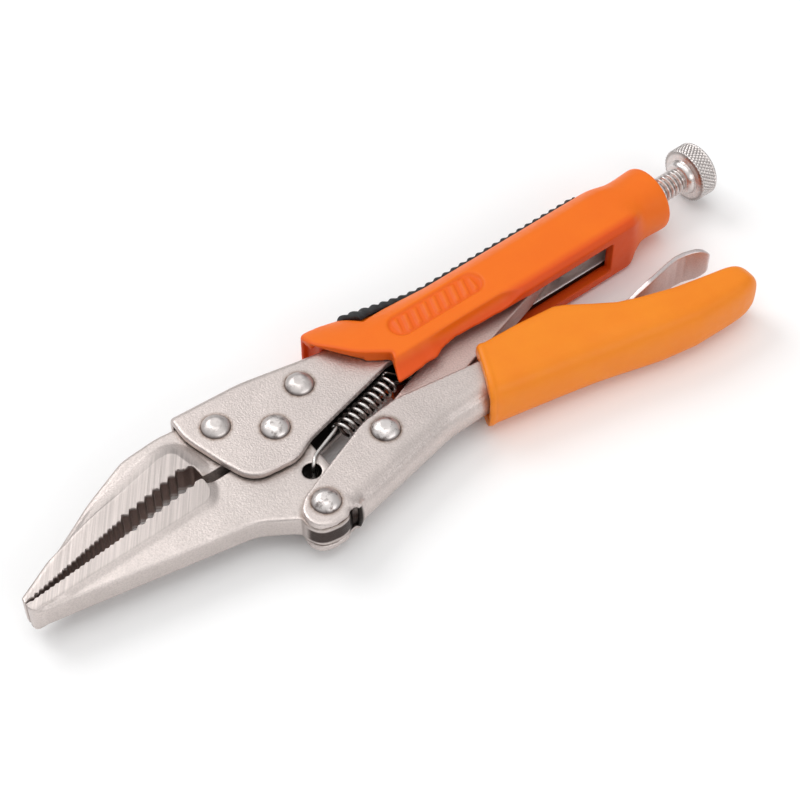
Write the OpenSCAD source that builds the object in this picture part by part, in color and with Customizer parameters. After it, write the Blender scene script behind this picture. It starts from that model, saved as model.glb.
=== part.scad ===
// Long-nose locking pliers, locked shut and lying on one flat side.
// In plan, +X runs along the upper handle to the adjusting screw and +Y to the
// upper handle's back. Heights are measured from the tool's middle plane, and
// lay() lifts every sub-part so that the tool lies on Z = 0.

/* [Jaws] */
// Half thickness of the two forged jaws
jaw_half = 3.4; // [3.2:0.1:3.5]
// Height of the ground nose pads above the jaw faces
pad_rise = 1.0; // [0.6:0.1:1.2]
// Pitch of the fine teeth near the tip
fine_pitch = 1.45; // [1.2:0.05:1.8]
// Pitch of the coarse teeth behind them
coarse_pitch = 2.5; // [2.2:0.1:3.2]
// Gap between the closed teeth at the tip
tip_gap = 0.3; // [0.2:0.05:0.5]

/* [Handles] */
// Thickness of the stamped handle plates
plate_t = 2.0; // [1.6:0.1:2.2]
// Side gap between a handle plate and what turns inside it
side_gap = 0.3; // [0.2:0.05:0.35]
// Half thickness of the toggle link
link_half = 3.2; // [2.8:0.1:3.3]
// Thickness of the release lever's sheet
lever_t = 1.4; // [1.2:0.1:1.5]
// Half width of the release lever's paddle
paddle_half = 5.5; // [4.6:0.1:5.6]

/* [Grips] */
// Half thickness of the upper grip, which the tool lies on
grip_half = 9.4; // [9.3:0.1:9.6]
// Radius of the round collar at the upper grip's rear
collar_r = 9.25; // [8.8:0.05:9.25]
// Half thickness of the lower grip sleeve
sleeve_half = 8.7; // [8.2:0.1:8.9]
// Distance between the ribs of the upper grip's insert
rib_pitch = 2.85; // [2.4:0.05:3.4]

/* [Rivets] */
// Radius of every rivet's shank
shank_r = 2.95; // [2.8:0.05:2.95]
// Radius of every rivet's domed head
head_r = 3.8; // [3.6:0.1:4.0]
// Height of a rivet's domed head
head_h = 1.8; // [1.4:0.1:2.0]

/* [Adjusting screw] */
// Outer radius of the screw's thread
screw_r = 3.6; // [3.4:0.05:3.6]
// Radius of the knurled head
knob_r = 7.75; // [7.2:0.05:8.0]
// Free length between the screw's tip and the toggle link's tail
tail_gap = 2.4; // [2.4:0.1:3.0]

/* [Spring] */
// Outer radius of the spring's coil
coil_r = 2.9; // [2.6:0.1:3.0]
// Radius of the spring's wire
wire_r = 0.45; // [0.4:0.05:0.5]

/* [Hidden] */
$fn = 48;

// The plan's extremes, and its middle
tip_x = -107.2;
knob_end = 116.5;
grip_top = 29.2;
sleeve_low = -31.6;
mid_x = (tip_x + knob_end) / 2;
mid_y = (grip_top + sleeve_low) / 2;

// Pivots and rivets, in plan
jaw_pivot = [-32.1, 8.9];
handle_pivot = [-35.6, -16.6];
link_pivot = [-11.1, -8.4];
lever_pivot = [40, -12.6];
tail_centre = [58, 13.05];
front_rivet = [-43.6, 18.1];
rear_rivet = [-19.4, 16.1];
axis_y = tail_centre.y;

// Heights above the middle plane
inner_half = jaw_half + side_gap;
outer_half = inner_half + plate_t;
pad_half = jaw_half + pad_rise;
lip_half = 5.5;

// Radii round the pivots
running = 0.05;
bore_r = shank_r + running;
jaw_hub = 8.0;
seat_r = jaw_hub + 0.4;
handle_hub = 7.1;
tail_r = 3.4;
lever_pin_r = 1.5;

// Spring, from its hook in the lower jaw to its hook round the handle's tab
hook_hole = [-32.0, -5.9];
hook_hole_r = 2.4;
coil_front = [-18.2, 0.3];
coil_rear = [2.0, 5.7];
tab_at = [6.0, 7.2];
tab_size = [1.4, 3.0];

// Ends of the straight rows of teeth
upper_tip = [-106, 3.95 + tip_gap];
upper_mid = [-77, 10.0];
upper_end = [-56.8, 13.4];
lower_tip = [-106, 3.95];
lower_mid = [-77, 6.0];
lower_end = [-56.6, 8.3];
mouth_x = -54.4;

// Steel of the upper handle under its grip
upper_back = 21.6;
upper_edge = 5.5;
steel_rear = 86;
slot_rear = 76;
barrel_front = 80.5;
barrel_rear = 95.8;
barrel_r = 6.6;

// Upper grip
grip_back = 23.5;
grip_edge = 2.9;
collar_front = 88.5;
collar_rear = 97.0;
insert_rear = 79;
insert_depth = 1.1;
rib_h = 0.7;
recess_at = [22.2, 13.3];
recess_size = [30, 7.7];
recess_depth = 0.7;

function flat(p) = [p.x, p.y];
function unit(v) = v / norm(v);
function sharp(pts) = [for (p = pts) [p.x, p.y, 0]];

// Points of the corner b between a and c, rounded to the radius b[2], or to
// less where the sides beside it are short
function corner(a, b, c) =
    let (
        to_a = flat(a) - flat(b),
        to_c = flat(c) - flat(b),
        half = acos(unit(to_a) * unit(to_c)) / 2,
        r = min(b[2], 0.49 * min(norm(to_a), norm(to_c)) * tan(half))
    )
    b[2] == 0 || half > 89.5 ? [flat(b)] :
    let (
        centre = flat(b) + unit(unit(to_a) + unit(to_c)) * r / sin(half),
        start = flat(b) + unit(to_a) * r / tan(half) - centre,
        sweep = -sign(cross(to_a, to_c)) * (180 - 2 * half),
        steps = max(2, ceil(abs(sweep) / 12)),
        from = atan2(start.y, start.x)
    )
    [for (i = [0:steps]) let (a = from + sweep * i / steps) centre + r * [cos(a), sin(a)]];

// A closed outline from corners [x, y, radius]
function outline(pts) =
    let (n = len(pts))
    [for (i = [0:n - 1]) each corner(pts[(i + n - 1) % n], pts[i], pts[(i + 1) % n])];

// Sharp corners of teeth from a towards b, with their roots to the right of that way
function teeth(a, b, pitch, depth) =
    let (
        n = round(norm(b - a) / pitch),
        root = unit([b.y - a.y, a.x - b.x]) * depth
    )
    sharp([for (i = [0:n - 1]) for (k = [0, 1]) a + (b - a) * (i + k / 2) / n + k * root]);

module lay() {
    translate([-mid_x, -mid_y, grip_half]) children();
}

// A plate of the given half thickness
module slab(pts, half) {
    linear_extrude(height = 2 * half, center = true) polygon(pts);
}

module upright(at, r, half) {
    translate([at.x, at.y, 0]) cylinder(r = r, h = 2 * half, center = true);
}

// A rod along X on the screw's axis
module rod_x(from, to, r_from, r_to) {
    translate([from, axis_y, 0])
        rotate([0, 90, 0])
            cylinder(r1 = r_from, r2 = r_to, h = to - from);
}

// A round rod from a to b
module rod(a, b, r) {
    v = b - a;
    translate(a)
        rotate([0, acos(v.z / norm(v)), atan2(v.y, v.x)])
            cylinder(r = r, h = norm(v));
}

// A profile in Y and Z, drawn out along the whole of X
module along_x(pts) {
    rotate([90, 0, 90]) linear_extrude(height = 300, center = true) polygon(pts);
}

// A shank with a domed head at each end
module rivet(at) {
    dome_r = (head_r * head_r + head_h * head_h) / (2 * head_h);
    top = outer_half + running;
    color("gainsboro") lay() translate([at.x, at.y, 0]) {
        cylinder(r = shank_r, h = 2 * top, center = true);
        for (side = [0, 1]) mirror([0, 0, side]) translate([0, 0, top]) intersection() {
            translate([0, 0, head_h - dome_r]) sphere(r = dome_r);
            cylinder(r = head_r, h = head_h + 1);
        }
    }
}

module front_jaw_rivet() {
    rivet(front_rivet);
}

module rear_jaw_rivet() {
    rivet(rear_rivet);
}

module jaw_pivot_rivet() {
    rivet(jaw_pivot);
}

module handle_pivot_rivet() {
    rivet(handle_pivot);
}

module link_rivet() {
    rivet(link_pivot);
}

// ---- Jaws ----

fixed_jaw_edge = outline(concat(
    [
        [tip_x, upper_tip.y, 0], [tip_x, 6.3, 1.4], [-90, 14.7, 60], [-67.5, 24.2, 16],
        [-57, 26.5, 12], [-49, 25.6, 6], [-13.6, 21.0, 2.5], [-13.6, 11.4, 2.5],
        [-22.6, 9.0, 0], [mouth_x + 0.3, 9.0, 0.3], [mouth_x, 13.2, 1.2]
    ],
    teeth(upper_end, upper_mid, coarse_pitch, 1.25),
    teeth(upper_mid, upper_tip, fine_pitch, 0.7)
));

lower_jaw_edge = outline(concat(
    [[tip_x, 1.6, 1.4], [tip_x, lower_tip.y, 0]],
    teeth(lower_tip, lower_mid, fine_pitch, 0.5),
    teeth(lower_mid, lower_end, coarse_pitch, 0.9),
    [
        [lower_end.x, lower_end.y, 0], [mouth_x, 8.2, 0.8], [mouth_x - 0.2, 6.3, 0.4],
        [-40, 6.5, 0], [-36, 8.9, 0], [-27.2, 8.9, 0], [-27.2, -7.2, 2], [-29.4, -14, 2],
        [-35.6, -21, 0], [-43.1, -15.6, 3], [-51.4, -10.0, 12], [-104.4, 0.4, 1.4]
    ]
));

// Ground flats beside the teeth
upper_pad = outline([
    [tip_x - 1, 3, 0], [tip_x - 1, 9, 0], [-97, 11.2, 0], [-60, 19.4, 6],
    [-56, 19.4, 2.5], [mouth_x, 13, 0], [mouth_x, 9, 0]
]);
lower_pad = outline([
    [tip_x - 1, 1.0, 0], [tip_x - 1, 9, 0], [-57, 15, 0], [mouth_x, 8.2, 0],
    [-55.3, 3.2, 2], [-58.5, 1.9, 1.5], [-106, 1.2, 0]
]);

module padded_plate(edge, pad) {
    slab(edge, jaw_half);
    intersection() {
        slab(edge, pad_half);
        slab(pad, pad_half + 1);
    }
}

module fixed_jaw() {
    color("silver") lay() difference() {
        padded_plate(fixed_jaw_edge, upper_pad);
        upright(jaw_pivot, seat_r, pad_half + 1);
        for (at = [front_rivet, rear_rivet]) upright(at, bore_r, pad_half + 1);
    }
}

module lower_jaw() {
    color("silver") lay() difference() {
        union() {
            padded_plate(lower_jaw_edge, lower_pad);
            upright(jaw_pivot, jaw_hub, jaw_half);
            upright(handle_pivot, handle_hub, jaw_half);
        }
        for (at = [jaw_pivot, handle_pivot]) upright(at, bore_r, pad_half + 1);
        upright(hook_hole, hook_hole_r, pad_half + 1);
    }
}

// ---- Upper handle ----

upper_plate = outline([
    [-51, 28, 1], [-31, 26.7, 40], [-8, 21.9, 40], [12, upper_back, 30],
    [steel_rear, upper_back, 2], [steel_rear, upper_edge, 2], [13, upper_edge, 6],
    [3, 8.0, 6], [-27, 1.0, 12], [-33, -2.0, 8], [-45.6, -0.6, 9], [-48.6, 8.5, 14],
    [-51.6, 20, 16]
]);

upper_inside = outline([
    [-54, 26.2, 0], [-31, 26.7 - plate_t, 40], [-8, 21.9 - plate_t, 40],
    [12, upper_back - plate_t, 30], [steel_rear + 1, upper_back - plate_t, 0],
    [steel_rear + 1, -10, 0], [-54, -10, 0]
]);

module upper_handle() {
    color("silver") lay() difference() {
        union() {
            difference() {
                slab(upper_plate, outer_half);
                slab(upper_inside, inner_half);
            }
            rod_x(barrel_front, barrel_rear, barrel_r, barrel_r);
            translate([tab_at.x, tab_at.y, 0])
                cube([tab_size.x, tab_size.y, 2 * inner_half + 1], center = true);
        }
        rod_x(barrel_front - 5, barrel_rear + 1, screw_r + running, screw_r + running);
        for (at = [jaw_pivot, front_rivet, rear_rivet]) upright(at, bore_r, outer_half + 1);
    }
}

// ---- Upper grip ----

// Where the grip starts to flare towards the jaws, and how steeply
flare_end = 19.3;
flare_tilt = 11.5;

upper_grip_edge = outline([
    [-10.4, grip_top, 0.8], [-8.6, grip_top, 3], [1, 27.0, 12], [19, grip_back, 30], [81, grip_back, 12],
    [collar_front + 1, 21.4, 4], [collar_front + 1, 6.2, 2], [82.5, grip_edge, 4],
    [5.0, grip_edge, 1], [3.4, 7.4, 1], [-4.5, 13.4, 20], [-10.6, 23, 8]
]);

// Cross-section of the grip in Y and Z, chamfered towards its open side
open_side = outline([
    [40, grip_half, 0], [6.6, grip_half, 1.5], [grip_edge, lip_half + 1, 0.5],
    [grip_edge, -lip_half - 1, 0.5], [6.6, -grip_half, 1.5], [40, -grip_half, 0]
]);

// The same section's rounded back, standing out by grow
function round_back(grow) = outline([
    [-20, grip_half, 0], [grip_back - 7.1, grip_half, 6], [grip_back - 1.7 + grow, 6.9, 6],
    [grip_back + 0.6 + grow, 2.8, 0], [grip_back + 0.6 + grow, -2.8, 0],
    [grip_back - 1.7 + grow, -6.9, 6], [grip_back - 7.1, -grip_half, 6], [-20, -grip_half, 0]
]);

// Rounded back along the whole grip, rising with the flare in front of the dip
module grip_round(grow) {
    intersection() {
        along_x(round_back(grow));
        slab([[flare_end, -50], [150, -50], [150, 50], [flare_end, 50]], grip_half);
    }
    intersection() {
        translate([flare_end, grip_back, 0]) rotate([0, 0, -flare_tilt])
            translate([-flare_end, -grip_back, 0]) along_x(round_back(grow));
        slab([[-50, -50], [flare_end, -50], [flare_end, 50], [-50, 50]], grip_half);
    }
}

// What the steel handle fills inside the grip
steel_room = outline([
    [-20, 24.8, 0], [-8, 22.0, 40], [12, upper_back + 0.1, 30],
    [steel_rear + 0.1, upper_back + 0.1, 0], [steel_rear + 0.1, upper_edge - 0.1, 0],
    [13, upper_edge - 0.1, 6], [3, 7.9, 6], [-20, 2.4, 0]
]);

// Side outline of the ribbed insert
insert_front = [0.6, 26.6];
insert_dip = [flare_end, grip_back];
insert_end = [insert_rear, grip_back];
insert_edge = outline(concat(
    [[4.6, 26.6 - 3.4, 0]],
    teeth(insert_front + [0, rib_h], insert_dip + [0, rib_h], rib_pitch, rib_h),
    teeth(insert_dip + [0, rib_h], insert_end + [0, rib_h], rib_pitch, rib_h),
    [[insert_rear, grip_back, 0], [insert_rear, grip_back - insert_depth, 0]],
    [[20, grip_back - insert_depth, 0]]
));

// Plan of the insert from behind: broad in front, narrow at the rear
module insert_band(spare) {
    along = [-2, 19, insert_rear + spare];
    wide = [6, 4.6, 3.6] + spare * [1, 1, 1];
    rotate([90, 0, 0]) linear_extrude(height = 100, center = true) polygon([
        for (i = [0, 1, 2]) [along[i], wide[i]],
        for (i = [2, 1, 0]) [along[i], -wide[i]]
    ]);
}

module upper_grip_insert() {
    color("dimgray") lay() intersection() {
        slab(insert_edge, grip_half);
        insert_band(0);
        grip_round(rib_h);
    }
}

module insert_room() {
    intersection() {
        slab([
            [insert_front.x - 0.1, 40], [insert_front.x - 0.1, insert_front.y],
            [4.5, 26.6 - 3.5], [20, grip_back - insert_depth - 0.05],
            [insert_rear + 0.05, grip_back - insert_depth - 0.05], [insert_rear + 0.05, 40]
        ], grip_half);
        insert_band(0.05);
    }
}

// Long oval pocket in the grip's side face
module side_recess() {
    r = recess_size.y / 2;
    reach = recess_size.x / 2 - r;
    for (side = [0, 1]) mirror([0, 0, side])
        translate([recess_at.x, recess_at.y, grip_half - recess_depth])
            linear_extrude(height = 2) {
                translate([-reach, -r]) square([2 * reach, 2 * r]);
                for (end = [-1, 1]) translate([end * reach, 0]) circle(r = r);
            }
}

module upper_grip() {
    color("darkorange") lay() difference() {
        union() {
            intersection() {
                slab(upper_grip_edge, grip_half);
                along_x(open_side);
                grip_round(0);
            }
            rod_x(collar_front, collar_rear, collar_r, collar_r);
        }
        slab(steel_room, outer_half + running);
        slab([[0, 0], [slot_rear, 0], [slot_rear, upper_back], [0, upper_back]], lip_half);
        rod_x(barrel_front - 1, barrel_rear + 0.05, barrel_r + running, barrel_r + running);
        rod_x(barrel_rear - 1, collar_rear + 1, screw_r + 0.3, screw_r + 0.3);
        insert_room();
        side_recess();
    }
}

// ---- Lower handle ----

// Where the closed side of the channel starts, behind the ears
web_front = -30.2;

lower_plate = outline([
    [-42.5, -18.9, 4], [-41.9, -15.0, 4], [-38.6, -12.2, 6], [-31, -9.3, 10], [-14, -3.0, 14], [-3, -2.2, 14], [24, -6.3, 20],
    [45, -7.5, 12], [58, -15.5, 20], [92, -24.6, 2], [92, -28.2, 4], [80, -29.9, 30],
    [17, -16.2, 20], [4, -16.4, 20], [web_front, -22.9, 0.8], [web_front, -21.2, 1.6],
    [-34, -22.7, 3], [-37.6, -22.8, 3], [-41, -21.6, 3]
]);

lower_inside = outline([
    [-50, 10, 0], [110, 10, 0], [110, -25, 0], [80, -29.9 + plate_t, 30],
    [17, -16.2 + plate_t, 20], [4, -16.4 + plate_t, 20], [web_front, -22.9 + plate_t, 0],
    [web_front, -40, 0], [-50, -40, 0]
]);

module lower_handle() {
    color("silver") lay() difference() {
        slab(lower_plate, outer_half);
        slab(lower_inside, inner_half);
        upright(handle_pivot, handle_hub + 0.5, inner_half);
        for (at = [handle_pivot, link_pivot]) upright(at, bore_r, outer_half + 1);
        upright(lever_pivot, lever_pin_r + running, outer_half + 1);
    }
}

sleeve_edge = outline([
    [22.6, -2.7, 0.6], [45.5, -4.0, 6], [57, -11.6, 24], [72, -17.9, 30], [91, -22.4, 6],
    [97.2, -25.4, 3.4], [96.4, -30.2, 5], [84, sleeve_low, 30], [72, sleeve_low, 30],
    [17, -18.5, 30], [14.6, -18.0, 0.6]
]);

steel_in_sleeve = outline([
    [0, 20, 0], [10, -4.2, 0], [24, -6.2, 20], [45, -7.4, 12], [58, -15.4, 20],
    [92.1, -24.5, 2], [92.1, -28.3, 4], [80, -30.0, 30], [17, -16.3, 20], [0, -16.5, 0]
]);

module lower_grip_sleeve() {
    color("orange") lay() difference() {
        intersection() {
            slab(sleeve_edge, sleeve_half);
            union() {
                slab([[0, 0], [110, 0], [110, -60], [0, -60]], sleeve_half - 1.2);
                slab([
                    [0, -1], [47, -5.4], [59, -13.6], [75, -19.8], [94, -24.6],
                    [95, -28.5], [84, -30.2], [72, -30.2], [0, -14]
                ], sleeve_half);
            }
        }
        slab(steel_in_sleeve, outer_half + running);
        // Open inner side, for the link and the release lever
        slab([[0, 10], [69, 10], [69, -17], [60, -18], [0, -18]], inner_half + 0.3);
    }
}

module release_lever_pin() {
    color("silver") lay() upright(lever_pivot, lever_pin_r, outer_half);
}

// ---- Toggle link ----

link_way = unit(tail_centre - link_pivot);
link_side = [-link_way.y, link_way.x];
function on_link(along, aside) = link_pivot + along * link_way + aside * link_side;
link_len = norm(tail_centre - link_pivot);

link_edge = outline([
    for (c = [
        [-4.6, -4.6, 4.5], [60, -5.0, 8], [link_len + tail_r, -tail_r, tail_r],
        [link_len + tail_r, tail_r, tail_r], [50, 6.0, 14], [26, 5.4, 14], [-4.6, 4.2, 4.2]
    ]) let (p = on_link(c[0], c[1])) [p.x, p.y, c[2]]
]);

module toggle_link() {
    color("silver") lay() difference() {
        slab(link_edge, link_half);
        upright(link_pivot, bore_r, link_half + 1);
    }
}

// ---- Release lever ----

lever_cheek = outline([
    [25, -7.5, 1.5], [27, -4.3, 1.2], [33, -5.2, 3], [47, -9.6, 10], [60, -12.5, 8],
    [67, -12.6, 0], [67, -14.0, 0], [60, -14.6, 6], [46, -15.2, 4], [36, -15.4, 3]
]);

lever_sheet = outline([
    [60, -12.5, 8], [73, -12.1, 20], [85.5, -10.0, 14], [94.2, -13.4, 1.0],
    [93.6, -14.7, 0.6], [85.3, -10.0 - lever_t, 14], [73, -12.1 - lever_t, 20],
    [60, -12.5 - lever_t, 8]
]);

module release_lever() {
    color("gainsboro") lay() difference() {
        union() {
            difference() {
                slab(lever_cheek, link_half);
                translate([0, -lever_t, 0]) slab(lever_cheek, link_half - lever_t);
            }
            intersection() {
                slab(lever_sheet, paddle_half);
                // Paddle seen along the sheet: narrow neck and round end
                rotate([90, 0, 0]) linear_extrude(height = 100, center = true) polygon(outline([
                    [50, link_half, 0], [66, link_half, 3], [73, paddle_half, 4],
                    [94.3, paddle_half, 5], [94.3, -paddle_half, 5], [73, -paddle_half, 4],
                    [66, -link_half, 3], [50, -link_half, 0]
                ]));
            }
        }
        upright(lever_pivot, lever_pin_r + running, outer_half);
    }
}

// ---- Adjusting screw and spring ----

module adjusting_screw() {
    tip = tail_centre.x + tail_r + tail_gap;
    neck = 107.4;
    neck_r = 4.8;
    knob_front = 110.1;
    bevel = 0.9;
    color("gainsboro") lay() {
        rod_x(tip, tip + 1, screw_r - 1, screw_r);
        rod_x(tip + 1, neck, screw_r, screw_r);
        rod_x(neck, knob_front, neck_r, neck_r);
        rod_x(knob_front, knob_front + bevel, knob_r - bevel, knob_r);
        rod_x(knob_front + bevel, knob_end - bevel, knob_r, knob_r);
        rod_x(knob_end - bevel, knob_end, knob_r, knob_r - bevel);
    }
}

module jaw_spring() {
    coil_way = unit(coil_rear - coil_front);
    bend_r = 1.3 * wire_r;
    over_jaw = jaw_half + bend_r + 0.1;
    // Where each hook's wire leaves the middle of the coil's wall
    leave = [0.3 * coil_way.x - coil_way.y * (coil_r - wire_r), coil_way.x * (coil_r - wire_r)];
    front_hook = [
        concat(coil_front + leave, 0.3), [-27.9, -2.8, over_jaw],
        concat(hook_hole + [1.3, 0.9], over_jaw), concat(hook_hole + [0.9, 0.6], -1)
    ];
    rear_hook = [
        concat(coil_rear - leave, 0.3), concat(tab_at + [1.6, -2.4], 0),
        concat(tab_at + [1.6, 0.9], 0)
    ];
    color("dimgray") lay() {
        translate(concat(coil_front, 0))
            rotate([0, 90, atan2(coil_way.y, coil_way.x)])
                difference() {
                    cylinder(r = coil_r, h = norm(coil_rear - coil_front));
                    translate([0, 0, -1]) cylinder(r = coil_r - 2 * wire_r, h = 60);
                }
        for (hook = [front_hook, rear_hook]) {
            for (i = [0:len(hook) - 2]) rod(hook[i], hook[i + 1], wire_r);
            for (i = [1:len(hook) - 1]) translate(hook[i]) sphere(r = bend_r);
        }
    }
}

upper_handle();
fixed_jaw();
front_jaw_rivet();
rear_jaw_rivet();
jaw_pivot_rivet();
upper_grip();
upper_grip_insert();
jaw_spring();
lower_jaw();
lower_handle();
handle_pivot_rivet();
link_rivet();
release_lever_pin();
lower_grip_sleeve();
toggle_link();
release_lever();
adjusting_screw();
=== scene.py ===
import math

import bmesh
import bpy
import numpy as np
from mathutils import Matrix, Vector
from mathutils.bvhtree import BVHTree


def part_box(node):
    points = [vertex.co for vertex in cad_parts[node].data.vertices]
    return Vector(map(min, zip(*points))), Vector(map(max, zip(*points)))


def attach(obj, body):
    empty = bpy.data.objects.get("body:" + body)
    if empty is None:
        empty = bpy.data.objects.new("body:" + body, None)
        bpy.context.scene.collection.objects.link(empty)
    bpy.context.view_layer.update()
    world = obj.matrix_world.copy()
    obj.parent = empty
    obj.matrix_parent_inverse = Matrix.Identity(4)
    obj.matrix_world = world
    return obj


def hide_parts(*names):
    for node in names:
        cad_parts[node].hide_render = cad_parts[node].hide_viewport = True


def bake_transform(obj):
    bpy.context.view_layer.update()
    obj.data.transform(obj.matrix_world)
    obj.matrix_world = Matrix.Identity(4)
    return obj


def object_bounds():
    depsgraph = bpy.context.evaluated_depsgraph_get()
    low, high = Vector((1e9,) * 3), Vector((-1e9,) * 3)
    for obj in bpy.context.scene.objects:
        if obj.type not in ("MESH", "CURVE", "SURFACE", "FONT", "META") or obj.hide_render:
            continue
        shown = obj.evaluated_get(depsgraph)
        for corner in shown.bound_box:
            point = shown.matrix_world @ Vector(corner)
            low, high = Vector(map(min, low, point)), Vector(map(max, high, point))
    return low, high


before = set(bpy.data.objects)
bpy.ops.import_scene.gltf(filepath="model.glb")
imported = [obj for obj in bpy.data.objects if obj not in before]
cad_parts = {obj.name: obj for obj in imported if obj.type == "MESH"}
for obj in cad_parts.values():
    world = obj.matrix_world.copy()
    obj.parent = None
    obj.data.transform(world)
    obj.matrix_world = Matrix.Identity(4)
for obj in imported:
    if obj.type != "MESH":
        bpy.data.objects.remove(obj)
CAD_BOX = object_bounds()

# ---------------------------------------------------------------- drawing frame
# Shapes are drawn in millimetres, in the tool's own plan: +X to the screw, +Y to
# the upper handle's back, Z from the middle plane. The jaw pivot ties that plan
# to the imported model.
MM = 0.001
JAW_PIVOT = (-32.1, 8.9)
HANDLE_PIVOT = (-35.6, -16.6)
HOOK_HOLE = np.array([-32.0, -5.9, 0.0])
HOOK_HOLE_R = 2.45
NOTCH_AT = (-31.5, -23.2)
NOTCH_R = 1.75
LINK_PIVOT = (-11.1, -8.4)
FRONT_RIVET = (-43.6, 18.1)
REAR_RIVET = (-19.4, 16.1)
AXIS_Y = 13.05

_low, _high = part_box("jaw_pivot_rivet")
ORIGIN = np.array((_low + _high) / 2) / MM - np.array([*JAW_PIVOT, 0.0])

# Heights above the middle plane, and radii
PLATE_EDGE_R = 2.2
JAW_HALF = 3.4
PAD_HALF = 4.4
INNER_HALF = 3.7
OUTER_HALF = 5.7
GRIP_HALF = 9.4
COLLAR_R = 9.25
SLEEVE_HALF = 8.7
HEAD_R = 3.8
HEAD_H = 1.8
SCREW_R = 3.6
KNOB_R = 7.75


def row(x, y, z=0.0):
    """A point of the drawing, in the row frame, in metres."""
    return Vector((np.array([x, y, z]) + ORIGIN) * MM)


# ---------------------------------------------------------------- mesh helpers
def add_object(name, mesh):
    thing = bpy.data.objects.new(name, mesh)
    bpy.context.scene.collection.objects.link(thing)
    return thing


def from_arrays(name, verts, faces):
    mesh = bpy.data.meshes.new(name)
    mesh.from_pydata([tuple(v) for v in verts], [], faces)
    mesh.update()
    return add_object(name, mesh)


def points(thing):
    co = np.zeros(len(thing.data.vertices) * 3, np.float32)
    thing.data.vertices.foreach_get("co", co)
    return co.reshape(-1, 3).astype(float)


def set_points(thing, co):
    thing.data.vertices.foreach_set("co", co.astype(np.float32).ravel())
    thing.data.update()


def apply_modifiers(thing):
    graph = bpy.context.evaluated_depsgraph_get()
    mesh = bpy.data.meshes.new_from_object(thing.evaluated_get(graph))
    thing.modifiers.clear()
    old = thing.data
    thing.data = mesh
    bpy.data.meshes.remove(old)


def cad_copy(node, name):
    """A copy of a CAD node's mesh, in the drawing's millimetres."""
    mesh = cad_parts[node].data.copy()
    mesh.materials.clear()
    thing = add_object(name, mesh)
    set_points(thing, points(thing) / MM - ORIGIN)
    weld(thing)
    return thing


def weld(thing, distance=0.002):
    bm = bmesh.new()
    bm.from_mesh(thing.data)
    bmesh.ops.remove_doubles(bm, verts=bm.verts, dist=distance)
    bmesh.ops.recalc_face_normals(bm, faces=bm.faces)
    bm.to_mesh(thing.data)
    bm.free()


def remesh(thing, voxel):
    mod = thing.modifiers.new("remesh", "REMESH")
    mod.mode = "VOXEL"
    mod.voxel_size = voxel
    apply_modifiers(thing)


def smooth(thing, rounds, weights=None, factor=0.5):
    """Even out the surface. weights, one for each vertex, say where and how much."""
    if weights is not None:
        group = thing.vertex_groups.new(name="soft")
        for step in np.unique(np.round(weights, 1)):
            if step > 0:
                chosen = np.nonzero(np.round(weights, 1) == step)[0]
                group.add([int(i) for i in chosen], float(step), "REPLACE")
    mod = thing.modifiers.new("smooth", "SMOOTH")
    mod.factor = factor
    mod.iterations = rounds
    if weights is not None:
        mod.vertex_group = "soft"
    apply_modifiers(thing)
    thing.vertex_groups.clear()


def cut(thing, tool, operation="DIFFERENCE"):
    mod = thing.modifiers.new("cut", "BOOLEAN")
    mod.operation = operation
    mod.object = tool
    mod.solver = "EXACT"
    apply_modifiers(thing)
    bpy.data.objects.remove(tool)


def prism(name, outline, low, high):
    """A plan outline drawn up from the height low to the height high."""
    n = len(outline)
    verts = [(x, y, low) for x, y in outline] + [(x, y, high) for x, y in outline]
    faces = [list(range(n))[::-1], list(range(n, 2 * n))]
    faces += [[i, (i + 1) % n, n + (i + 1) % n, n + i] for i in range(n)]
    thing = from_arrays(name, verts, faces)
    weld(thing, 0.0001)
    return thing


def grid_faces(rows, cols, closed_cols=True):
    faces = []
    last = cols if closed_cols else cols - 1
    for i in range(rows - 1):
        for j in range(last):
            k = (j + 1) % cols
            faces.append([i * cols + j, i * cols + k, (i + 1) * cols + k, (i + 1) * cols + j])
    return faces


def tube_of_rings(name, rings):
    """A closed skin through equal rings of points, capped at both ends."""
    rows, cols = len(rings), len(rings[0])
    verts = np.array(rings).reshape(-1, 3)
    faces = grid_faces(rows, cols)
    faces.append(list(range(cols))[::-1])
    faces.append([(rows - 1) * cols + j for j in range(cols)])
    thing = from_arrays(name, verts, faces)
    weld(thing, 0.0001)
    return thing


def full_turn(sides):
    """Equal angles once round."""
    return [2 * math.pi * k / sides for k in range(sides)]


def axis_ring(x, radius, turn):
    """A ring of points about the screw's axis."""
    return [(x, AXIS_Y + radius * math.cos(a), radius * math.sin(a)) for a in turn]


def sweep(name, path, radius, sides=12):
    """A round wire along a path."""
    path = np.array(path, float)
    way = np.gradient(path, axis=0)
    way /= np.linalg.norm(way, axis=1)[:, None]
    side = np.cross(way[0], [0.0, 0.0, 1.0])
    if np.linalg.norm(side) < 0.1:
        side = np.cross(way[0], [0.0, 1.0, 0.0])
    turn = full_turn(sides)
    rings = []
    for p, w in zip(path, way):
        side = side - w * side.dot(w)
        side /= np.linalg.norm(side)
        up = np.cross(w, side)
        rings.append([p + radius * (math.cos(a) * side + math.sin(a) * up) for a in turn])
    return tube_of_rings(name, rings)


def lathe_x(name, profile, sides=96):
    """A turned shape about the screw's axis, from (x, radius) pairs."""
    turn = full_turn(sides)
    return tube_of_rings(name, [axis_ring(x, r, turn) for x, r in profile])


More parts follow.
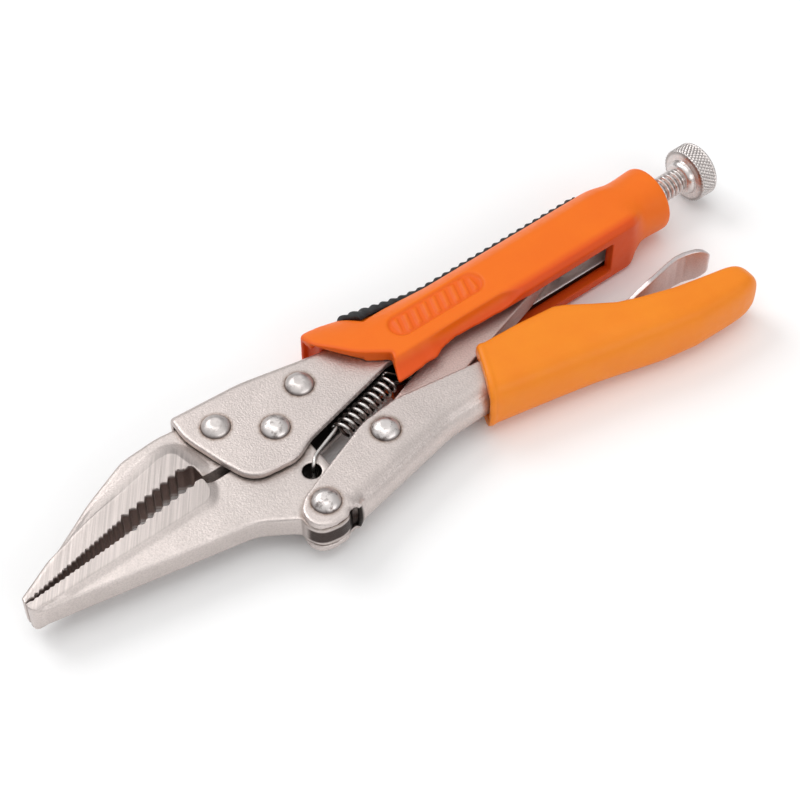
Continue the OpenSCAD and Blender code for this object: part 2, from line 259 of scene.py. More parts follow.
def arc_outline(corners):
    """A closed outline from corners (x, y, radius)."""
    out = []
    n = len(corners)
    for i in range(n):
        b = np.array(corners[i][:2], float)
        to_a = np.array(corners[i - 1][:2]) - b
        to_c = np.array(corners[(i + 1) % n][:2]) - b
        u, v = to_a / np.linalg.norm(to_a), to_c / np.linalg.norm(to_c)
        half = math.acos(max(-1.0, min(1.0, u.dot(v)))) / 2
        room = 0.49 * min(np.linalg.norm(to_a), np.linalg.norm(to_c)) * math.tan(half)
        r = min(corners[i][2], room)
        if r <= 0 or half > 1.562:
            out.append(tuple(b))
            continue
        centre = b + (u + v) / np.linalg.norm(u + v) * r / math.sin(half)
        start = b + u * r / math.tan(half) - centre
        sweep_angle = -np.sign(u[0] * v[1] - u[1] * v[0]) * (math.pi - 2 * half)
        first = math.atan2(start[1], start[0])
        steps = max(3, int(abs(sweep_angle) / 0.15))
        for k in range(steps + 1):
            a = first + sweep_angle * k / steps
            out.append(tuple(centre + r * np.array([math.cos(a), math.sin(a)])))
    return out


def inside(outline, x, y):
    """How far each point lies inside the outline; negative outside."""
    line = np.array(outline, float)
    nxt = np.roll(line, -1, axis=0)
    best = np.full(len(x), 1e9)
    odd = np.zeros(len(x), bool)
    for (ax, ay), (bx, by) in zip(line, nxt):
        dx, dy = bx - ax, by - ay
        length = dx * dx + dy * dy
        if length < 1e-12:
            continue
        t = np.clip(((x - ax) * dx + (y - ay) * dy) / length, 0, 1)
        best = np.minimum(best, np.hypot(x - ax - t * dx, y - ay - t * dy))
        if dy != 0:
            crosses = ((ay > y) != (by > y)) & (x < dx * (y - ay) / dy + ax)
            odd ^= crosses
    return np.where(odd, best, -best)


def fade(value, low, high):
    """0 up to low, 1 from high, and smooth between."""
    t = np.clip((value - low) / (high - low), 0, 1)
    return t * t * (3 - 2 * t)


def rim(co, top, step=0.5):
    """The plan's edge towards +Y or -Y: its height and slope at each x."""
    x, y = co[:, 0], co[:, 1]
    bins = np.arange(x.min(), x.max() + step, step)
    where = np.digitize(x, bins)
    xs, ys = [], []
    for k in range(1, len(bins) + 1):
        here = y[where == k]
        if len(here):
            xs.append(bins[k - 1] + step / 2)
            ys.append(here.max() if top else here.min())
    xs, ys = np.array(xs), np.array(ys)
    ys = np.convolve(np.pad(ys, 2, mode="edge"), np.ones(5) / 5, mode="valid")
    return xs, ys, np.gradient(ys, xs)


def depth_from_rim(co, top):
    """How far each point lies in from that edge."""
    xs, ys, slope = rim(co, top)
    edge = np.interp(co[:, 0], xs, ys)
    lean = np.cos(np.arctan(np.interp(co[:, 0], xs, slope)))
    gap = (edge - co[:, 1]) if top else (co[:, 1] - edge)
    return np.maximum(gap * lean, 0)


def round_rim(co, top, radius, half, share=None):
    """Turn the square edge of a plate of that half thickness into a round one."""
    d = depth_from_rim(co, top)
    u = radius - d
    v = np.abs(co[:, 2]) - (half - radius)
    near = (u > 0) & (v > 0)
    size = np.maximum(u, v)
    length = np.hypot(u, v) + 1e-9
    k = np.where(near, size / length, 1.0)
    if share is not None:
        k = 1 + (k - 1) * share
    new_v = v * k
    new_d = radius - u * k
    out = co.copy()
    out[:, 2] = np.where(near, np.sign(co[:, 2]) * (half - radius + new_v), co[:, 2])
    push = np.where(near, new_d - d, 0)
    out[:, 1] += -push if top else push
    return out


def paint(thing, name, values):
    layer = thing.data.attributes.new(name, "FLOAT", "POINT")
    layer.data.foreach_set("value", np.clip(values, 0, 1).astype(np.float32))


def nearness(thing, nodes, reach):
    """1 where the piece touches any of the CAD nodes, fading to 0 at reach."""
    co = points(thing)
    best = np.full(len(co), reach)
    for node in nodes:
        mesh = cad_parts[node].data
        verts = [tuple(np.array(v.co) / MM - ORIGIN) for v in mesh.vertices]
        tree = BVHTree.FromPolygons(verts, [tuple(p.vertices) for p in mesh.polygons])
        low = np.min(verts, axis=0) - reach
        high = np.max(verts, axis=0) + reach
        close = np.nonzero(np.all((co > low) & (co < high), axis=1))[0]
        for i in close:
            hit = tree.find_nearest(co[i], best[i])
            if hit[3] is not None:
                best[i] = min(best[i], hit[3])
    return 1 - best / reach


def finish_piece(thing, body, material, slot, *nodes):
    """Into the row frame, with its material, its body and the nodes it stands for."""
    set_points(thing, (points(thing) + ORIGIN) * MM)
    thing.data.materials.clear()
    thing.data.materials.append(material)
    thing.data.polygons.foreach_set("use_smooth", [True] * len(thing.data.polygons))
    thing.data.update()
    if body is not None:
        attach(thing, body)
    if nodes:
        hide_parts(*nodes)
    return thing


# ---------------------------------------------------------------- materials
class Shader:
    """A Principled material with short ways to add texture nodes."""

    def __init__(self, name):
        self.material = bpy.data.materials.new(name)
        self.material.use_nodes = True
        self.nodes = self.material.node_tree.nodes
        self.links = self.material.node_tree.links
        self.skin = self.nodes["Principled BSDF"]
        coords = self.nodes.new("ShaderNodeTexCoord")
        self.place = self.nodes.new("ShaderNodeMapping")
        self.place.inputs["Scale"].default_value = (1 / MM, 1 / MM, 1 / MM)
        self.links.new(coords.outputs["Object"], self.place.inputs["Vector"])
        self.bumps = None

    def set(self, **values):
        """Set constants on the shader; an underscore stands for a space."""
        for key, value in values.items():
            self.skin.inputs[key.replace("_", " ")].default_value = value

    def noise(self, scale, detail=3.0, rough=0.55, stretch=None, turn=0.0):
        node = self.nodes.new("ShaderNodeTexNoise")
        node.inputs["Scale"].default_value = scale
        node.inputs["Detail"].default_value = detail
        node.inputs["Roughness"].default_value = rough
        source = self.place.outputs["Vector"]
        if stretch:
            mapping = self.nodes.new("ShaderNodeMapping")
            mapping.inputs["Scale"].default_value = stretch
            turned = self.nodes.new("ShaderNodeMapping")
            turned.inputs["Rotation"].default_value = (0.0, 0.0, turn)
            self.links.new(source, turned.inputs["Vector"])
            self.links.new(turned.outputs["Vector"], mapping.inputs["Vector"])
            source = mapping.outputs["Vector"]
        self.links.new(source, node.inputs["Vector"])
        return node.outputs["Fac"]

    def attribute(self, name):
        node = self.nodes.new("ShaderNodeAttribute")
        node.attribute_name = name
        return node.outputs["Fac"]

    def ramp(self, source, low, high, to_low=0.0, to_high=1.0):
        node = self.nodes.new("ShaderNodeMapRange")
        node.inputs["From Min"].default_value = low
        node.inputs["From Max"].default_value = high
        node.inputs["To Min"].default_value = to_low
        node.inputs["To Max"].default_value = to_high
        self.links.new(source, node.inputs["Value"])
        return node.outputs["Result"]

    def math(self, operation, a, b):
        node = self.nodes.new("ShaderNodeMath")
        node.operation = operation
        for slot, value in zip(node.inputs, (a, b)):
            if isinstance(value, (int, float)):
                slot.default_value = value
            else:
                self.links.new(value, slot)
        return node.outputs[0]

    def mix(self, share, a, b):
        node = self.nodes.new("ShaderNodeMix")
        node.data_type = "RGBA"
        if isinstance(share, (int, float)):
            node.inputs["Factor"].default_value = share
        else:
            self.links.new(share, node.inputs["Factor"])
        for slot, value in ((node.inputs[6], a), (node.inputs[7], b)):
            if isinstance(value, tuple):
                slot.default_value = (*value, 1.0)
            else:
                self.links.new(value, slot)
        return node.outputs[2]

    def colour(self, source):
        self.links.new(source, self.skin.inputs["Base Color"])

    def rough(self, source):
        self.links.new(source, self.skin.inputs["Roughness"])

    def bump(self, source, strength, depth=0.1):
        """Add a bump of that depth, in millimetres."""
        node = self.nodes.new("ShaderNodeBump")
        node.inputs["Strength"].default_value = strength
        node.inputs["Distance"].default_value = depth * MM
        self.links.new(source, node.inputs["Height"])
        if self.bumps is not None:
            self.links.new(self.bumps, node.inputs["Normal"])
        self.bumps = node.outputs["Normal"]
        self.links.new(self.bumps, self.skin.inputs["Normal"])


# The jaws were ground on a slant to their length
GRIND_TURN = math.radians(38)


# Painted shade (brown), painted shadow (very dark) and painted light (near white) for the steel
SHADE_BROWN = (0.21, 0.135, 0.112)
SHADOW_BLACK = (0.02, 0.014, 0.012)
PAINTED_LIGHT_WHITE = (0.98, 0.95, 0.93)


def plated_steel(name, base, dark, rough=0.4, pebble=0.5, ground=False):
    """Satin nickel over blasted steel, with oil and painted shade in its crevices, painted shadow in its
    gaps and painted light on one wall.
    """
    s = Shader(name)
    s.set(Metallic=0.9, Specular_IOR_Level=0.5)
    broad = s.noise(0.12, 4.0)
    fine = s.noise(1.6, 3.0)
    specks = s.ramp(s.noise(2.6, 2.0, 0.7), 0.70, 0.78)
    tone = s.mix(s.ramp(broad, 0.35, 0.7), base, tuple(c * 0.90 for c in base))
    grain = s.ramp(s.noise(2.3, 2.0), 0.42, 0.62, 0.0, 0.5)
    tone = s.mix(grain, tone, tuple(c * 0.74 for c in base))
    tone = s.mix(s.math("MULTIPLY", specks, 0.35), tone, dark)
    # Oil and painted shade where the pieces meet, broken up by noise
    grime_and_shade = s.math("MULTIPLY", s.attribute("grime_and_shade"), s.ramp(s.noise(0.9, 4.0), 0.3, 0.6, 0.45, 1.0))
    tone = s.mix(grime_and_shade, tone, dark)
    tone = s.mix(s.attribute("painted_shade"), tone, SHADE_BROWN)
    tone = s.mix(s.attribute("painted_light"), tone, PAINTED_LIGHT_WHITE)
    tone = s.mix(s.attribute("painted_shadow"), tone, SHADOW_BLACK)
    roughness = s.ramp(fine, 0.3, 0.7, rough - 0.06, rough + 0.08)
    if ground:
        flat = s.attribute("ground")
        lines = s.noise(1.0, 3.0, 0.7, stretch=(3.4, 0.05, 0.3), turn=GRIND_TURN)
        bands = s.ramp(s.noise(1.0, 3.0, 0.6, stretch=(2.1, 0.03, 0.2), turn=GRIND_TURN), 0.36, 0.64)
        lit = s.mix(bands, tuple(c * 0.86 for c in base), tuple(c * 0.60 for c in base))
        tone = s.mix(s.math("MULTIPLY", flat, 0.85), tone, lit)
        roughness = s.math("SUBTRACT", roughness, s.math("MULTIPLY", flat, 0.02))
        s.bump(s.math("MULTIPLY", lines, flat), 0.4, 0.08)
        rest = s.math("SUBTRACT", 1.0, flat)
        s.bump(s.math("MULTIPLY", s.noise(2.0, 2.0), rest), pebble, 0.14)
        s.bump(s.math("MULTIPLY", s.noise(3.4, 2.0), rest), pebble * 0.6, 0.05)
    else:
        s.bump(s.noise(2.0, 2.0), pebble, 0.14)
        s.bump(s.noise(3.4, 2.0), pebble * 0.6, 0.05)
    s.colour(tone)
    s.rough(roughness)
    return s.material


SMUDGE = (0.16, 0.125, 0.115)
# Oil, with painted shade, in the corners and grooves of polished parts
OIL_AND_SHADE = (0.09, 0.06, 0.05)


def polished(name, base, rough, wave=0.15, dull=0.1):
    """Bright plating, with soft waves, smudges, and oil with painted shade in its corners."""
    s = Shader(name)
    s.set(Metallic=1.0)
    tone = s.mix(s.ramp(s.noise(0.5, 3.0), 0.35, 0.65), base, tuple(c * 0.92 for c in base))
    smudge = s.ramp(s.noise(0.55, 5.0, 0.65), 0.50, 0.66, 0.0, dull)
    tone = s.mix(smudge, tone, SMUDGE)
    tone = s.mix(s.attribute("grime_and_shade"), tone, OIL_AND_SHADE)
    s.colour(tone)
    s.rough(s.ramp(s.noise(1.4, 4.0), 0.3, 0.75, rough, rough + 0.12))
    s.bump(s.noise(0.5, 2.0), wave, 0.12)
    s.bump(s.noise(3.0, 2.0), wave * 0.6, 0.02)
    return s.material


def moulded(name, base, deep, dark, rough, nicks=0.3):
    """Satin moulded plastic, with painted shade in its hollows, and small nicks."""
    s = Shader(name)
    s.set(Metallic=0.0, Specular_IOR_Level=0.3)
    s.set(Subsurface_Weight=0.06, Subsurface_Scale=0.0012, Subsurface_Radius=(1.0, 0.35, 0.1))
    mottle = s.ramp(s.noise(0.09, 5.0, 0.6), 0.3, 0.7)
    tone = s.mix(mottle, base, tuple(c * k for c, k in zip(base, (0.97, 0.90, 0.85))))
    tone = s.mix(s.attribute("painted_hollow_shade"), tone, deep)
    tone = s.mix(s.attribute("painted_shade"), tone, dark)
    marks = s.ramp(s.noise(0.42, 6.0, 0.7), 0.72, 0.80)
    tone = s.mix(s.math("MULTIPLY", marks, nicks), tone, tuple(min(1.0, c + 0.2) for c in base))
    s.colour(tone)
    s.rough(s.ramp(s.noise(0.5, 4.0), 0.3, 0.7, rough - 0.05, rough + 0.08))
    s.bump(s.noise(0.35, 3.0), 0.10, 0.15)
    s.bump(s.noise(3.2, 2.0), 0.14, 0.03)
    s.bump(marks, -0.35 * nicks, 0.08)
    return s.material


def rubber(name, base):
    """Matt black rubber with a fine grain."""
    s = Shader(name)
    s.set(Metallic=0.0, Specular_IOR_Level=0.35)
    tone = s.mix(s.ramp(s.noise(0.6, 4.0), 0.35, 0.7), base, tuple(c * 2.2 for c in base))
    s.colour(tone)
    s.rough(s.ramp(s.noise(2.0, 3.0), 0.3, 0.7, 0.5, 0.7))
    s.bump(s.noise(4.5, 2.0), 0.35, 0.04)
    return s.material


WARM = (0.69, 0.615, 0.585)
# Stain colour for specks, and for oil with painted shade in crevices
STAIN_AND_SHADE = (0.20, 0.125, 0.085)
PLATE = plated_steel("plated_plate", WARM, STAIN_AND_SHADE, rough=0.40, pebble=0.55)
JAW = plated_steel("plated_jaw", (0.68, 0.61, 0.58), STAIN_AND_SHADE, rough=0.40, pebble=0.45, ground=True)
# The link's plating is a darker, pinker copy: painted shade and painted orange reflection from the grip
# above
LINK_SHADED = plated_steel("plated_link_shaded", (0.66, 0.51, 0.47), STAIN_AND_SHADE, rough=0.44, pebble=0.5)
LEVER = plated_steel("plated_lever", (0.74, 0.66, 0.65), STAIN_AND_SHADE, rough=0.34, pebble=0.15)
CHROME = polished("polished_rivet", (0.80, 0.75, 0.73), 0.30, wave=0.6, dull=0.8)
SATIN = polished("satin_rivet", (0.70, 0.65, 0.63), 0.34, wave=0.5, dull=0.35)
SCREW = polished("screw_plating", (0.74, 0.69, 0.67), 0.24, wave=0.1)
SPRING = polished("spring_wire", (0.80, 0.77, 0.75), 0.24, wave=0.1)
# Very dark painted shade for the orange plastics
SHADE_BLACK = (0.03, 0.008, 0.006)
# The second colour of each is painted shade for hollows, the third very dark painted shade
GRIP = moulded("grip_orange", (0.87, 0.168, 0.004), (0.68, 0.05, 0.004), SHADE_BLACK, 0.44)
SLEEVE = moulded("sleeve_orange", (0.87, 0.25, 0.010), (0.62, 0.09, 0.01), SHADE_BLACK, 0.40, nicks=0.12)
INSERT = rubber("insert_rubber", (0.018, 0.018, 0.019))


# ---------------------------------------------------------------- jaws
UPPER_TIP, UPPER_MID, UPPER_END = (-106, 4.25), (-77, 10.0), (-56.8, 13.4)
LOWER_TIP, LOWER_MID, LOWER_END = (-106, 3.95), (-77, 6.0), (-56.6, 8.3)
UPPER_PAD = arc_outline([
    (-110, 1, 0), (-110, 8, 0), (-97, 11.2, 2), (-60, 19.6, 6), (-55.6, 19.6, 3), (-54.2, 12, 0),
])
LOWER_PAD = arc_outline([
    (-110, 1.0, 0), (-110, 12, 0), (-54.2, 12, 0), (-54.4, 5.0, 3), (-56.6, 1.9, 3), (-106, 1.2, 0),
])


def tooth_gap(co, tip, mid, end):
    """Distance of each point from a row of teeth, across the jaw."""
    line = np.interp(co[:, 0], [tip[0], mid[0], end[0]], [tip[1], mid[1], end[1]])
    return np.abs(co[:, 1] - line) + np.maximum(co[:, 0] - end[0], 0)


def jaw(node, pad, ends, top, edge_r, skirt, near):
    """A forging: rounded back, raised pad, and teeth left as sharp as the CAD has them."""
    thing = cad_copy(node, node + "_forging")
    remesh(thing, 0.24)
    co = points(thing)
    soft = fade(tooth_gap(co, *ends), 1.4, 2.4)
    smooth(thing, 2)
    co = points(thing)
    if top:
        # A fuller back between the tip and the plates
        swell = fade(co[:, 0], -93, -78) * (1 - fade(co[:, 0], -68, -56))
        co[:, 1] += 1.3 * swell * fade(-depth_from_rim(co, top), -8.0, -1.0)
    co = round_rim(co, top, edge_r, JAW_HALF)
    set_points(thing, co)
    if not top:
        co = trim_hub(co)
    # The pad's sides slope down to the jaw's face
    slope = np.clip((inside(pad, co[:, 0], co[:, 1]) + skirt) / (skirt + 0.1), 0, 1)
    height = JAW_HALF + (PAD_HALF - JAW_HALF) * slope
    on_face = (np.abs(co[:, 2]) > JAW_HALF - 0.25) & (depth_from_rim(co, top) > edge_r + 0.3)
    lifted = on_face & (slope > 0)
    co[:, 2] = np.where(lifted, np.sign(co[:, 2]) * np.maximum(np.abs(co[:, 2]), height), co[:, 2])
    set_points(thing, co)
    smooth(thing, 10, soft)
    co = points(thing)
    # Painted shade on the teeth's walls, and very dark painted shadow in the notch, the hook hole and
    # round the hub
    walls = fade(-tooth_side(co, ends, top), 0.15, 0.5) * fade(PAD_HALF - np.abs(co[:, 2]), 0.06, 0.25)
    teeth = walls * fade(co[:, 0], -108, -106) * (co[:, 0] < -54.0) * 0.9
    hole = np.hypot(co[:, 0] - HOOK_HOLE[0], co[:, 1] - HOOK_HOLE[1])
    painted_shadow = np.maximum(notch_shade(co), (hole < HOOK_HOLE_R) * fade(JAW_HALF - np.abs(co[:, 2]), 0.1, 0.4))
    painted_shadow = np.maximum(painted_shadow, hub_gap(co))
    paint(thing, "painted_shade", np.maximum(teeth, painted_shadow))
    paint(thing, "painted_shadow", painted_shadow)
    below = 0.8 if top else 0.22
    flat = fade(np.abs(co[:, 2]), PAD_HALF - below, PAD_HALF - 0.05)
    paint(thing, "ground", flat)
    # Oil and painted shade near the pieces the jaw meets, and in the corner behind the teeth
    paint(thing, "grime_and_shade", np.maximum(nearness(thing, near, 1.3) ** 1.5 * 0.9, corner_darkening(co)))
    return finish_piece(thing, JAW_BODY[node], JAW, "jaw_steel", node)


def tooth_side(co, ends, top):
    """How far each point lies on the metal side of the row of teeth's roots."""
    tip, mid, end = ends
    line = np.interp(co[:, 0], [tip[0], mid[0], end[0]], [tip[1], mid[1], end[1]])
    depth = np.interp(co[:, 0], [tip[0], mid[0]], [0.8, 1.5])
    return (co[:, 1] - line - depth) if top else (line - depth * 0.7 - co[:, 1])


def trim_hub(co):
    """The lower jaw's hub is smaller behind its pivot, towards the handle's closed side."""
    away = co[:, :2] - HANDLE_PIVOT
    far = np.linalg.norm(away, axis=1)
    limit = 7.1 - 0.9 * fade(co[:, 0], -42.0, -37.0)
    near = (far < 7.4) & (co[:, 1] < -17)
    k = np.where(near & (far > limit), limit / np.maximum(far, 0.1), 1.0)
    out = co.copy()
    out[:, :2] = HANDLE_PIVOT + away * k[:, None]
    return out


def hub_gap(co):
    """Painted shadow in a band round the hub's free side, between the lower handle's ears."""
    hub = np.hypot(co[:, 0] - HANDLE_PIVOT[0], co[:, 1] - HANDLE_PIVOT[1])
    middle = 1 - fade(np.abs(co[:, 2]), 1.8, 2.4)
    return 0.85 * middle * (hub > 5.2) * (1 - fade(co[:, 1], -19.5, -17.5))


def notch_shade(co):
    """Painted shadow in the gap between the lower jaw's hub and the lower handle's closed side."""
    away = np.hypot(co[:, 0] + 30.9, co[:, 1] + 22.4)
    return (1 - fade(away, 1.5, 2.4)) * (np.abs(co[:, 2]) < INNER_HALF + 0.3)


def corner_darkening(co):
    """Darker in the corner behind the teeth."""
    away = np.hypot(co[:, 0] + 54.2, co[:, 1] - 8.5)
    return 0.55 * (1 - fade(away, 0.5, 3.0))


JAW_BODY = {"fixed_jaw": "frame", "lower_jaw": "lower_jaw"}
jaw("fixed_jaw", UPPER_PAD, (UPPER_TIP, UPPER_MID, UPPER_END), True, 1.5, 3.6, ["upper_handle"])
jaw("lower_jaw", LOWER_PAD, (LOWER_TIP, LOWER_MID, LOWER_END), False, 0.9, 1.8,
    ["upper_handle", "lower_handle", "handle_pivot_rivet"])


# ---------------------------------------------------------------- handles
RIVETS = ["front_jaw_rivet", "rear_jaw_rivet", "jaw_pivot_rivet"]


def tuck_rear(co, clearance=0.0):
    """Draw the channel's rear corners in under the grip's round collar."""
    far = np.hypot(co[:, 1] - AXIS_Y, co[:, 2])
    limit = COLLAR_R + 1.2 - 2.3 * fade(co[:, 0], 78.0, 83.0) + clearance
    k = np.where(far > limit, limit / np.maximum(far, 0.1), 1.0)
    out = co.copy()
    out[:, 1] = AXIS_Y + (co[:, 1] - AXIS_Y) * k
    out[:, 2] = co[:, 2] * k
    return np.where((co[:, 0] > 76.0)[:, None], out, co)


def upper_handle():
    thing = cad_copy("upper_handle", "upper_handle_channel")
    remesh(thing, 0.34)
    smooth(thing, 2)
    set_points(thing, tuck_rear(round_rim(points(thing), True, PLATE_EDGE_R, OUTER_HALF)))
    smooth(thing, 3)
    # Oil and painted shade round the rivets; painted shade where the steel goes in under the grip's front
    grime_and_shade = nearness(thing, RIVETS, 1.1) ** 1.6
    co = points(thing)
    deep = nearness(thing, ["upper_grip"], 2.2) ** 2 * 0.5 * (co[:, 0] < 10)
    paint(thing, "grime_and_shade", np.maximum(grime_and_shade, deep))
    # Painted shadow: the channel's inner walls in front of x 30 are painted very dark
    within = (1 - fade(np.abs(co[:, 2]), INNER_HALF - 0.1, INNER_HALF + 0.5))
    within = within * fade(depth_from_rim(co, True), 1.3, 1.8)
    # Behind the grip's slot: painted light on the inner wall low down, painted shadow on the wall above
    # and on the plates' lower part
    behind_slot = fade(co[:, 0], 36.0, 39.0) * (1 - fade(co[:, 0], 78.0, 80.0))
    wall = np.abs(co[:, 2]) < INNER_HALF + 0.25
    dark = np.where(wall, fade(co[:, 1], 8.3, 9.3), 1 - fade(co[:, 1], 9.0, 10.0))
    paint(thing, "painted_shadow", np.maximum(within * (co[:, 0] < 30), dark * behind_slot))
    paint(thing, "painted_light", wall * behind_slot)
    return finish_piece(thing, "frame", PLATE, "plate_steel", "upper_handle")


def lower_handle():
    thing = cad_copy("lower_handle", "lower_handle_channel")
    notch = [
        (NOTCH_AT[0] + NOTCH_R * math.cos(a), NOTCH_AT[1] + NOTCH_R * math.sin(a))
        for a in full_turn(32)
    ]
    cut(thing, prism("notch", notch, -8, 8))
    remesh(thing, 0.34)
    smooth(thing, 2)
    co = points(thing)
    # Only the closed side is round: the ears in front of it stay flat
    share = fade(co[:, 0], -31.5, -27.0)
    set_points(thing, round_rim(co, False, OUTER_HALF, OUTER_HALF, share))
    smooth(thing, 3)
    # Oil and painted shade round the rivets and where the steel enters the sleeve; painted shadow in the
    # notch
    grime_and_shade = nearness(thing, ["handle_pivot_rivet", "link_rivet"], 1.1) ** 1.6
    deep = nearness(thing, ["lower_grip_sleeve"], 1.5) ** 2 * 0.35
    paint(thing, "painted_shadow", notch_shade(points(thing)))
    paint(thing, "grime_and_shade", np.maximum(grime_and_shade, deep))
    return finish_piece(thing, "lower_handle", PLATE, "plate_steel", "lower_handle")


def toggle_link():
    thing = cad_copy("toggle_link", "toggle_link_bar")
    remesh(thing, 0.3)
    smooth(thing, 4)
    # Painted shade, with some dirt, under the grip and the upper handle
    paint(thing, "grime_and_shade", nearness(thing, ["upper_grip", "upper_handle"], 2.0) * 0.6)
    return finish_piece(thing, "toggle_link", LINK_SHADED, "link_steel", "toggle_link")


def release_lever():
    thing = cad_copy("release_lever", "release_lever_sheet")
    remesh(thing, 0.24)
    smooth(thing, 5)
    return finish_piece(thing, "release_lever", LEVER, "lever_steel", "release_lever")


upper_handle()
lower_handle()
toggle_link()
release_lever()


# ---------------------------------------------------------------- rivets
def rivet(node, at, body, material):
    """A shank with a domed head on each side, turned about an upright axis."""
    dome_r = (HEAD_R ** 2 + HEAD_H ** 2) / (2 * HEAD_H)
    skirt = 0.25
    half = []
    for k in range(15):
        r = HEAD_R * math.sin(math.pi / 2 * k / 14)
        z = OUTER_HALF + HEAD_H - dome_r + math.sqrt(dome_r ** 2 - r ** 2)
        half.append((r, z + skirt * min(1, (HEAD_R - r) / 0.4)))
    half[0] = (0.02, half[0][1])
    half.append((HEAD_R, OUTER_HALF + 0.02))
    half.append((2.9, OUTER_HALF))
    profile = [(r, min(z, OUTER_HALF + HEAD_H)) for r, z in half]
    profile += [(r, -z) for r, z in profile[::-1]]
    turn = full_turn(72)
    rings = [
        [(at[0] + r * math.cos(a), at[1] + r * math.sin(a), z) for a in turn] for r, z in profile
    ]
    thing = tube_of_rings(node + "_dome", rings)
    co = points(thing)
    far = np.hypot(co[:, 0] - at[0], co[:, 1] - at[1])
    foot = np.abs(co[:, 2]) < OUTER_HALF + 0.7
    # Oil and painted shade round the foot of each head
    paint(thing, "grime_and_shade", fade(far, HEAD_R - 0.45, HEAD_R - 0.05) * foot * 0.8)
    return finish_piece(thing, body, material, "rivet_steel", node)


rivet("front_jaw_rivet", FRONT_RIVET, "frame", SATIN)
rivet("rear_jaw_rivet", REAR_RIVET, "frame", SATIN)
rivet("jaw_pivot_rivet", JAW_PIVOT, "frame", CHROME)
rivet("handle_pivot_rivet", HANDLE_PIVOT, "lower_handle", CHROME)
rivet("link_rivet", LINK_PIVOT, "lower_handle", CHROME)
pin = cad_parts["release_lever_pin"]
pin.data.materials.clear()
pin.data.materials.append(SATIN)


# ---------------------------------------------------------------- upper grip
GRIP_PLAN = arc_outline([
    (-10.5, 29.25, 2.4), (-2, 29.25, 0), (4, 31, 0), (100, 31, 0), (100, -4, 0),
    (-1.9, -4, 0), (3.4, 7.6, 0.8), (-4.5, 13.4, 20), (-10.6, 23, 8),
])
RECESS_AT = (22.2, 13.3)
RECESS_HALF = (15.0, 3.85)
RECESS_RIB_PITCH = 3.1
SHOULDER = 16.5
GRIP_REAR = 97.0
BACK = (
    [-12, -8, -4, 2, 10, 15, 20, 26, 80, 85, 90],
    [29.2, 29.2, 28.8, 27.7, 25.7, 24.7, 24.0, 23.5, 23.5, 23.3, 22.0],
)
LIP = (
    [0, 8, 10.5, 13, 16, 21, 28, 36, 45],
    [0.7, 1.2, 1.7, 1.3, 2.9, 3.8, 3.4, 3.0, 2.7],
)
INSERT_HALF = (
    [0.8, 1.6, 4.6, 8, 12, 16, 20, 25, 79],
    [3.6, 4.6, 7.9, 7.1, 6.1, 5.2, 4.4, 3.9, 3.6],
)


def back_height(x, z, flat_rear=2.4, power=1.35):
    """The grip's rounded back, as a height over the tool's plan."""
    top = np.interp(x, *BACK)
    flat = 5.0 - (5.0 - flat_rear) * fade(x, -9.0, 15.0)
    s = np.clip((np.abs(z) - flat) / (GRIP_HALF - flat), 0, 1)
    return SHOULDER + (top - SHOULDER) * (1 - s ** power) ** (1 / power)


def grip_section(x):
    """One ring of the grip's skin: flat sides, rounded back, chamfered open side."""
    x = np.array(float(x))
    wide = fade(x, 37, 43)
    lip_y = float(np.interp(x, *LIP))
    lip_z = 6.3 + 1.7 * wide
    side_y = 5.7 - 1.6 * wide
    half = [(k / 8 * lip_z, lip_y) for k in range(8)]
    for k in range(10):
        t = k / 10
        sag = 0.35 * math.sin(math.pi * t) * (1 - wide)
        half.append((lip_z + (GRIP_HALF - lip_z) * t - sag, lip_y + (side_y - lip_y) * t + sag))
    half += [(GRIP_HALF, side_y + (SHOULDER - side_y) * k / 14) for k in range(14)]
    for k in range(27):
        z = GRIP_HALF * math.cos(math.pi / 2 * k / 27)
        half.append((z, float(back_height(x, z))))
    middle = (0.0, float(back_height(x, 0.0)))
    ring = half + [middle] + [(-z, y) for z, y in half[:0:-1]]
    share = float(fade(x, 81.0, 88.5))
    collar = COLLAR_R - 0.25 * (1 - float(fade(x, 90.0, 96.0)))
    out = []
    for z, y in ring:
        far = math.hypot(z, y - AXIS_Y)
        k = (1 - share) + share * collar / far
        out.append((float(x), AXIS_Y + (y - AXIS_Y) * k, z * k))
    return out


def grip_skin():
    """The grip's outside, closed and solid."""
    rings = [grip_section(x) for x in np.arange(-13, GRIP_REAR - 1.0, 0.75)]
    # The collar's round rear rim
    last = grip_section(GRIP_REAR - 1.0)
    for k in range(7):
        a = math.pi / 2 * k / 6
        shrink = (COLLAR_R - 1.0 + math.cos(a)) / COLLAR_R
        x = GRIP_REAR - 1.0 + math.sin(a)
        rings.append([(x, AXIS_Y + (y - AXIS_Y) * shrink, z * shrink) for _, y, z in last])
    return tube_of_rings("upper_grip_skin", rings)


